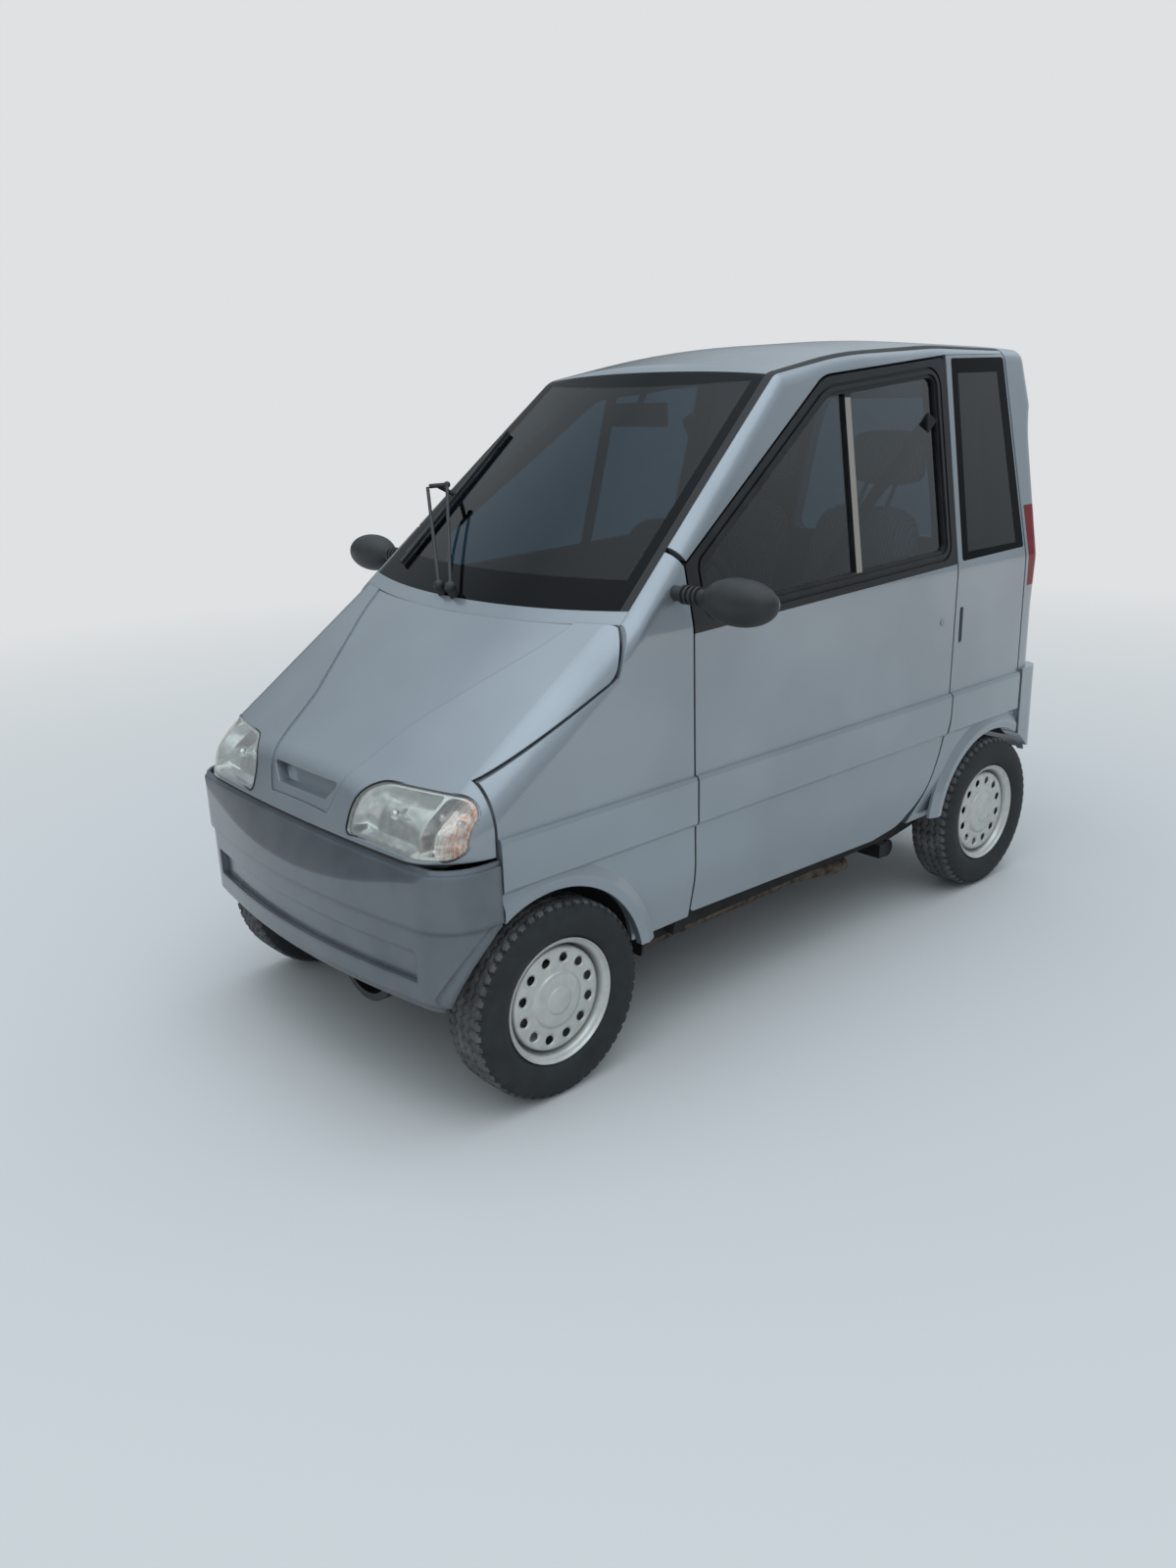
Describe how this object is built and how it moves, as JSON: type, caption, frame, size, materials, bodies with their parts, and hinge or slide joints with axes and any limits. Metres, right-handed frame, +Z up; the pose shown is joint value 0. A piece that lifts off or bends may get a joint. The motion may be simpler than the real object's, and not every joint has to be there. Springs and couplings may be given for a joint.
{
  "type": "microcar",
  "caption": "Short upright microcar with a one-piece nose panel, side doors, a rear lift gate, dished steel wheels and a cabin with separate seats.",
  "frame": {"origin": "on the ground under the middle of the bounding box", "axes": "+Z up, -Y points forward along the nose, +X to the car's own left"},
  "size_m": [1.596, 2.3126, 1.6008],
  "materials": {
    "paint": "metallic",
    "bumper_paint": "satin",
    "black_rubber": "matte",
    "black_plastic": "matte",
    "tyre": "matte",
    "wheel_paint": "satin",
    "glass": "clear",
    "lamp_glass": "clear",
    "reflector": "metallised",
    "red_lens": "clear",
    "mirror_black": "textured",
    "seat_fabric": "woven",
    "tub": "matte",
    "chassis": "matte",
    "cast": "cast",
    "steel": "worn",
    "exhaust_steel": "rusted"
  },
  "bodies": {
    "root": {"bumper_front": "bumper_paint", "bumper_rear": "bumper_paint", "nose_seal": "black_rubber", "cowl_strip": "paint", "windscreen": "glass", "roof_strips": "black_rubber", "roof_panel": "paint", "side_rail_left": "paint", "side_rail_right": "paint", "wing_left": "paint", "wing_right": "paint", "quarter_panel_left": "paint", "quarter_panel_right": "paint", "quarter_glass": "glass", "rear_surround": "paint", "tail_lamps": "red_lens", "floor_tub": "tub", "arch_liner_left": "black_plastic", "arch_liner_right": "black_plastic", "chassis_frame": "chassis", "front_suspension": "chassis", "rear_suspension": "chassis", "engine_block": "cast", "pulley": "black_plastic", "exhaust": "exhaust_steel", "dashboard": "black_plastic", "steering_column": "black_plastic", "seat_left": "seat_fabric", "seat_right": "seat_fabric", "inner_mirror": "black_plastic", "mirror_left": "mirror_black", "mirror_right": "mirror_black", "wiper": "black_plastic"},
    "bonnet_body": {"bonnet": "paint", "headlamp_left": "lamp_glass", "headlamp_right": "lamp_glass", "headlamp_housings": "reflector"},
    "left_door": {"door_left": "paint", "window_frame_left": "black_rubber", "window_glass_left": "glass"},
    "right_door": {"door_right": "paint", "window_frame_right": "black_rubber", "window_glass_right": "glass"},
    "tailgate_body": {"tailgate": "paint", "tailgate_glass": "glass"},
    "upright_l": {"upright_left": "steel"},
    "upright_r": {"upright_right": "steel"},
    "steering": {"steering_wheel": "black_plastic"},
    "wheel_front_left": {"tyre_front_left": "tyre", "rim_front_left": "wheel_paint"},
    "wheel_front_right": {"tyre_front_right": "tyre", "rim_front_right": "wheel_paint"},
    "wheel_rear_left": {"tyre_rear_left": "tyre", "rim_rear_left": "wheel_paint"},
    "wheel_rear_right": {"tyre_rear_right": "tyre", "rim_rear_right": "wheel_paint"}
  },
  "joints": [
    {"name": "bonnet_hinge", "type": "hinge", "parent": "root", "child": "bonnet_body", "pos_m": [0, -0.574, 1.015], "axis": [-1, 0, 0], "range_deg": [0, 50]},
    {"name": "door_left_hinge", "type": "hinge", "parent": "root", "child": "left_door", "pos_m": [0.551, -0.386, 0.64], "axis": [0, 0, -1], "range_deg": [0, 65]},
    {"name": "door_right_hinge", "type": "hinge", "parent": "root", "child": "right_door", "pos_m": [-0.551, -0.386, 0.64], "axis": [0, 0, 1], "range_deg": [0, 65]},
    {"name": "tailgate_hinge", "type": "hinge", "parent": "root", "child": "tailgate_body", "pos_m": [0, 1.154, 1.5], "axis": [1, 0, 0], "range_deg": [0, 75]},
    {"name": "steer_left", "type": "hinge", "parent": "root", "child": "upright_l", "pos_m": [0.385, -0.814, 0.229], "axis": [0, 0, 1], "range_deg": [-30, 30]},
    {"name": "steer_right", "type": "hinge", "parent": "root", "child": "upright_r", "pos_m": [-0.385, -0.814, 0.229], "axis": [0, 0, 1], "range_deg": [-30, 30]},
    {"name": "steering_wheel_turn", "type": "hinge", "parent": "root", "child": "steering", "pos_m": [0.235, -0.109, 1.015], "axis": [0, -0.9099, -0.4149], "range_deg": [-270, 270]},
    {"name": "spin_front_left", "type": "hinge", "parent": "upright_l", "child": "wheel_front_left", "pos_m": [0.486, -0.814, 0.229], "axis": [1, 0, 0], "continuous": true},
    {"name": "spin_front_right", "type": "hinge", "parent": "upright_r", "child": "wheel_front_right", "pos_m": [-0.486, -0.814, 0.229], "axis": [1, 0, 0], "continuous": true},
    {"name": "spin_rear_left", "type": "hinge", "parent": "root", "child": "wheel_rear_left", "pos_m": [0.486, 0.886, 0.229], "axis": [1, 0, 0], "continuous": true},
    {"name": "spin_rear_right", "type": "hinge", "parent": "root", "child": "wheel_rear_right", "pos_m": [-0.486, 0.886, 0.229], "axis": [1, 0, 0], "continuous": true}
  ],
  "couplings": [
    {"joint": "steer_right", "follows": "steer_left", "ratio": 1},
    {"joint": "steering_wheel_turn", "follows": "steer_left", "ratio": 9}
  ]
}
